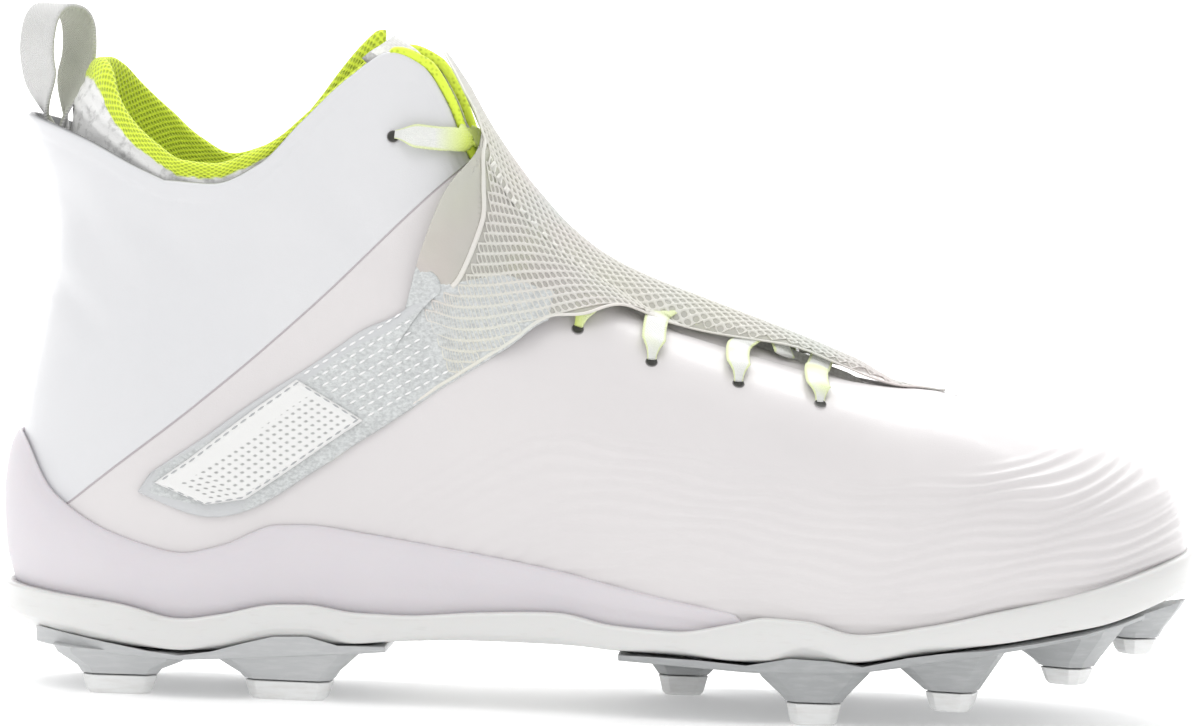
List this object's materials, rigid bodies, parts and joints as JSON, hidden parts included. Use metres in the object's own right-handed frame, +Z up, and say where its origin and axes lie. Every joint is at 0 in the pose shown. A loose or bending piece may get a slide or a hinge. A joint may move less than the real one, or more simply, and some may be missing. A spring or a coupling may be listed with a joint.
{
  "type": "american football cleat",
  "caption": "Mid-height right cleated boot with a knit cuff, a net lace cover and heel strap, on a studded plate.",
  "frame": {"origin": "under the middle of the shoe, on the floor it stands on", "axes": "+X towards the toe, +Y towards the inner side of the foot, +Z up"},
  "size_m": [0.3046, 0.1038, 0.1738],
  "materials": {
    "cover": "coated net",
    "insole": "matte",
    "lace": "flat braid",
    "loop": "webbing",
    "midsole": "matte foam",
    "outsole": "satin gray",
    "plate": "satin white",
    "sleeve": "spacer mesh",
    "tab": "perforated",
    "tip": "satin white",
    "tongue": "knit",
    "upper": "matte moulded skin over knit"
  },
  "bodies": {
    "root": {"upper": "upper", "plate": "plate", "midsole": "midsole", "insole": "insole", "tongue": "tongue", "collar_sleeve": "sleeve", "heel_outsole": "outsole", "forefoot_outsole": "outsole", "cover_strap": "cover", "lace_bar": "lace", "lace_cross_1": "lace", "lace_cross_2": "lace", "lace_cross_3": "lace", "lace_cross_4": "lace", "lace_cross_5": "lace", "lace_cross_6": "lace", "pull_loop": "loop", "strap_tab": "tab", "tip_ball_inner_front": "tip", "tip_ball_inner_mid": "tip", "tip_ball_inner_rear": "tip", "tip_ball_outer_front": "tip", "tip_ball_outer_rear": "tip", "tip_heel_inner_front": "tip", "tip_heel_inner_rear": "tip", "tip_heel_outer_front": "tip", "tip_heel_outer_rear": "tip", "tip_toe_inner": "tip", "tip_toe_outer_front": "tip", "tip_toe_outer_rear": "tip"}
  },
  "joints": []
}
